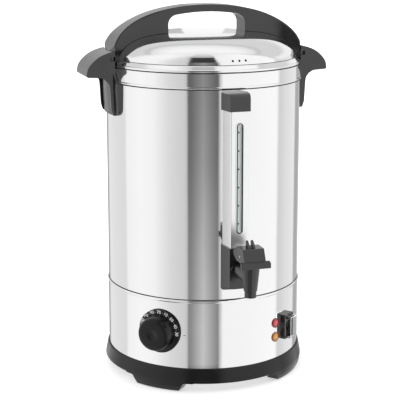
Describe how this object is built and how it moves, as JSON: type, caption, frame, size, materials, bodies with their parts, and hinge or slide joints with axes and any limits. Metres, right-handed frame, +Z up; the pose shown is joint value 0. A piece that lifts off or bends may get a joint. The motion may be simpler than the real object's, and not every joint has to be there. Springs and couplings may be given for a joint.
{
  "type": "hot water urn",
  "caption": "Tall round stainless hot water urn with an arched lid handle, two side handles, a sight gauge with a lever tap below it, a dial, pilot lamps and a rocker switch.",
  "frame": {"origin": "centre of the base, on the surface the urn stands on", "axes": "+Z up; -Y to the front, where the gauge and the tap are; the side handles stand at +X and -X"},
  "size_m": [0.3322, 0.3584, 0.495],
  "materials": {
    "polished_stainless": "mirror polished",
    "plain_steel": "plain",
    "black_plastic": "fine satin grain",
    "dial_plastic": "satin with white printed numbers",
    "rocker_plastic": "gloss",
    "black_rubber": "matt",
    "silicone": "matt",
    "clear_tube": "clear",
    "clear_boot": "clear, soft",
    "red_lens": "gloss",
    "amber_lens": "gloss",
    "white_plastic": "matt",
    "aluminium": "cast",
    "element_sheath": "dull grey",
    "copper": "drawn"
  },
  "bodies": {
    "urn": {"base_ring": "black_plastic", "bottom_plate": "plain_steel", "bottom_screws": "plain_steel", "cord_gland": "black_plastic", "dry_boil_cutout": "plain_steel", "foot_pads": "black_rubber", "gauge_block": "black_plastic", "gauge_cap": "black_plastic", "gauge_channel": "polished_stainless", "heat_plate": "aluminium", "heating_element": "element_sheath", "lamp_amber": "amber_lens", "lamp_holders": "white_plastic", "lamp_red": "red_lens", "lower_housing": "polished_stainless", "outlet_gasket": "silicone", "outlet_nut": "plain_steel", "outlet_pipe": "plain_steel", "side_handle_left": "black_plastic", "side_handle_right": "black_plastic", "side_handle_screws": "plain_steel", "side_handle_seals": "silicone", "sight_tube": "clear_tube", "switch_body": "black_plastic", "switch_boot": "clear_boot", "switch_frame": "black_plastic", "tank": "polished_stainless", "tap_body": "black_plastic", "tap_bonnet": "black_plastic", "tap_lock_nut": "plain_steel", "tap_spring": "plain_steel", "terminal_block": "white_plastic", "thermostat": "black_plastic", "thermostat_bulb": "copper", "thermostat_screws": "plain_steel", "tube_seals": "silicone", "vent_fitting": "plain_steel", "vent_nut": "plain_steel", "vent_washer": "silicone"},
    "lid": {"lid": "polished_stainless", "lid_handle": "black_plastic", "lid_handle_screws": "plain_steel", "lid_handle_washers": "silicone"},
    "dial": {"dial_knob": "dial_plastic", "thermostat_shaft": "plain_steel"},
    "rocker": {"switch_rocker": "rocker_plastic"},
    "stem": {"tap_stem": "plain_steel", "valve_cup": "silicone", "lever_pin": "plain_steel"},
    "lever": {"tap_lever": "black_plastic"}
  },
  "joints": [
    {"name": "lid_lift", "type": "slide", "parent": "urn", "child": "lid", "axis": [0, 0, 1], "range_m": [0, 0.12]},
    {"name": "dial_turn", "type": "hinge", "parent": "urn", "child": "dial", "pos_m": [0, 0, 0.08], "axis": [0.682, 0.7314, 0], "range_deg": [0, 240]},
    {"name": "rocker_tilt", "type": "hinge", "parent": "urn", "child": "rocker", "pos_m": [0.08027, -0.09842, 0.07275], "axis": [-0.7749, -0.632, 0], "range_deg": [0, 24]},
    {"name": "stem_lift", "type": "slide", "parent": "urn", "child": "stem", "axis": [0, 0, 1], "range_m": [0, 0.0032], "stiffness_N_per_m": 120, "springref_m": -0.005, "deforming": ["tap_spring"]},
    {"name": "lever_press", "type": "hinge", "parent": "stem", "child": "lever", "pos_m": [0, -0.194, 0.1987], "axis": [1, 0, 0], "range_deg": [0, 20]}
  ],
  "couplings": [
    {"joint": "lever_press", "follows": "stem_lift", "rad_per_m": 109}
  ]
}
